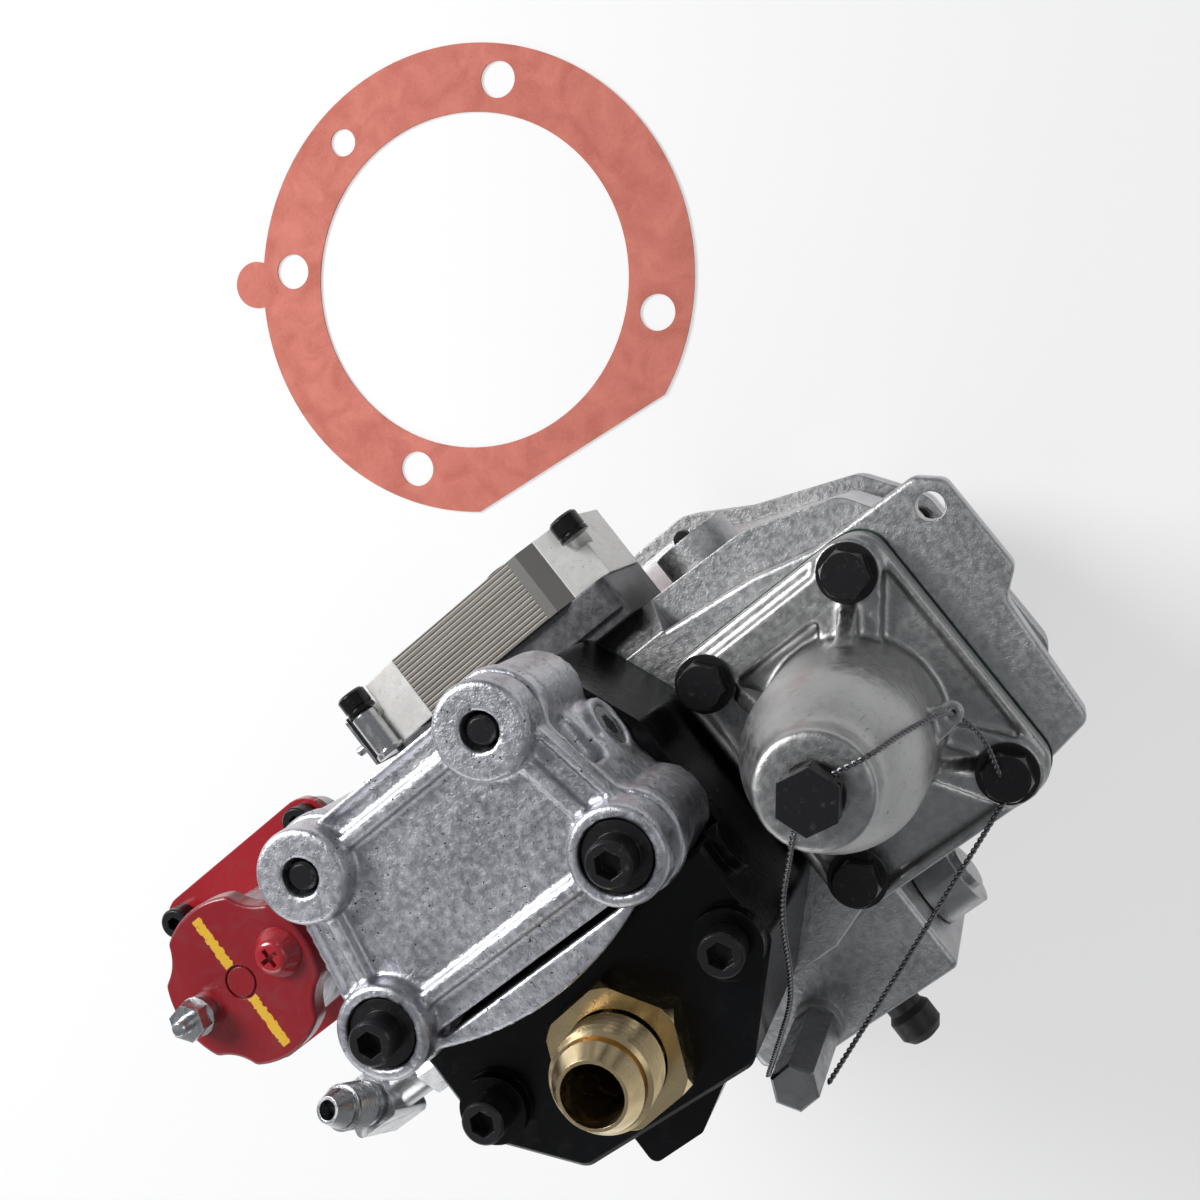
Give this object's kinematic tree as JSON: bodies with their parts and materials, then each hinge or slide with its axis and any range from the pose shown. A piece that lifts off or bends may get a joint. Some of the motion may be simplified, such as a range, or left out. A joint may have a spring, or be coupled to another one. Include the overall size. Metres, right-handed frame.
{
  "type": "diesel injection pump",
  "caption": "Diesel fuel injection pump with gear pump, pulsation damper, flyweight governor, throttle and solenoid shut-off, on a round drive flange, with its loose gasket.",
  "frame": {"origin": "centre of the mounting flange's face, on the drive shaft's axis", "axes": "+Z along the drive shaft from the mounting flange to the rear covers, +X towards the governor spring cover, +Y towards the governor actuator"},
  "size_m": [0.267, 0.41, 0.2498],
  "materials": {
    "cast_aluminium": "sand-cast, bead-blasted",
    "black_paint": "satin black over a casting",
    "machined_steel": "turned and ground",
    "black_steel": "black oxide",
    "bearing_steel": "polished",
    "brass": "turned, lightly tarnished",
    "green_gasket": "pressed gasket sheet",
    "grey_gasket": "grey-green gasket sheet",
    "red_gasket": "red-brown pressed fibre sheet",
    "red_coil": "red moulded epoxy",
    "black_plastic": "moulded",
    "black_rubber": "moulded rubber",
    "laminations": "stacked sheet edges",
    "zinc_plate": "yellow zinc",
    "spring_steel": "oil-tempered wire"
  },
  "bodies": {
    "housing": {"actuator_base": "cast_aluminium", "actuator_core": "laminations", "actuator_end_caps": "cast_aluminium", "actuator_screws": "black_steel", "actuator_terminals": "black_plastic", "bearing_balls": "bearing_steel", "bearing_outer_ring": "bearing_steel", "damper_body": "cast_aluminium", "damper_bolts": "black_steel", "damper_cover": "cast_aluminium", "damper_diaphragm": "spring_steel", "damper_o_ring": "black_rubber", "damper_port_plug": "machined_steel", "drain_cap": "black_rubber", "front_cover": "cast_aluminium", "front_cover_bolts": "black_steel", "front_cover_gasket": "grey_gasket", "gear_pump_body": "black_paint", "gear_pump_bolts": "black_steel", "gear_pump_cover": "black_paint", "gear_pump_gasket": "grey_gasket", "governor_barrel": "machined_steel", "governor_spring": "spring_steel", "idle_screw_cap": "machined_steel", "inlet_fitting": "brass", "main_housing": "cast_aluminium", "mounting_gasket": "red_gasket", "outlet_elbow": "machined_steel", "seal_wires": "spring_steel", "shaft_seal": "black_rubber", "shutoff_cap": "red_coil", "shutoff_cap_screw": "machined_steel", "shutoff_coil": "machined_steel", "shutoff_screws": "black_steel", "shutoff_shield": "red_coil", "shutoff_valve_body": "cast_aluminium", "spring_cover": "cast_aluminium", "spring_cover_bolts": "black_steel", "spring_cover_gasket": "green_gasket", "spring_cover_plug": "black_steel", "terminal_nut": "machined_steel", "terminal_stud": "zinc_plate"},
    "drive_train": {"drive_shaft": "machined_steel", "drive_coupling": "machined_steel", "drive_gear": "machined_steel", "bearing_inner_ring": "bearing_steel", "pump_drive_gear": "machined_steel"},
    "pump_idler": {"pump_idler_gear": "machined_steel"},
    "governor": {"governor_carrier": "machined_steel", "governor_weight_pins": "machined_steel"},
    "weight_a": {"governor_weight_a": "machined_steel"},
    "weight_b": {"governor_weight_b": "machined_steel"},
    "plunger": {"governor_plunger": "machined_steel", "spring_seat": "machined_steel"},
    "throttle": {"throttle_shaft": "machined_steel", "throttle_lever": "machined_steel"},
    "rotor": {"actuator_rotor": "machined_steel"},
    "valve_disc": {"shutoff_disc": "machined_steel"}
  },
  "joints": [
    {"name": "drive_spin", "type": "hinge", "parent": "housing", "child": "drive_train", "pos_m": [0, 0, 0.045], "axis": [0, 0, 1], "continuous": true},
    {"name": "pump_idler_spin", "type": "hinge", "parent": "housing", "child": "pump_idler", "pos_m": [0, 0.033, 0.17], "axis": [0, 0, 1], "continuous": true},
    {"name": "governor_spin", "type": "hinge", "parent": "housing", "child": "governor", "pos_m": [0.08764, -0.008, 0.045], "axis": [0, 0, 1], "continuous": true},
    {"name": "weight_a_swing", "type": "hinge", "parent": "governor", "child": "weight_a", "pos_m": [0.10264, -0.008, 0.068], "axis": [0, 1, 0], "range_deg": [0, 20]},
    {"name": "weight_b_swing", "type": "hinge", "parent": "governor", "child": "weight_b", "pos_m": [0.07264, -0.008, 0.068], "axis": [0, -1, 0], "range_deg": [0, 20]},
    {"name": "plunger_slide", "type": "slide", "parent": "housing", "child": "plunger", "axis": [0, 0, 1], "range_m": [0, 0.00314], "stiffness_N_per_m": 900, "deforming": ["governor_spring"]},
    {"name": "throttle_turn", "type": "hinge", "parent": "housing", "child": "throttle", "pos_m": [0.03, -0.07, 0.101], "axis": [1, 0, 0], "range_deg": [-28, 0]},
    {"name": "rotor_turn", "type": "hinge", "parent": "housing", "child": "rotor", "pos_m": [0.014, 0.06, 0.128], "axis": [0, 1, 0], "range_deg": [0, 35], "stiffness_Nm_per_rad": 0.02},
    {"name": "valve_lift", "type": "slide", "parent": "housing", "child": "valve_disc", "axis": [0, 0, 1], "range_m": [0, 0.0008], "stiffness_N_per_m": 3000, "springref_m": -0.001}
  ],
  "couplings": [
    {"joint": "pump_idler_spin", "follows": "drive_spin", "ratio": -1},
    {"joint": "governor_spin", "follows": "drive_spin", "ratio": -1.5882},
    {"joint": "weight_a_swing", "follows": "plunger_slide", "rad_per_m": 111.11},
    {"joint": "weight_b_swing", "follows": "plunger_slide", "rad_per_m": 111.11}
  ]
}
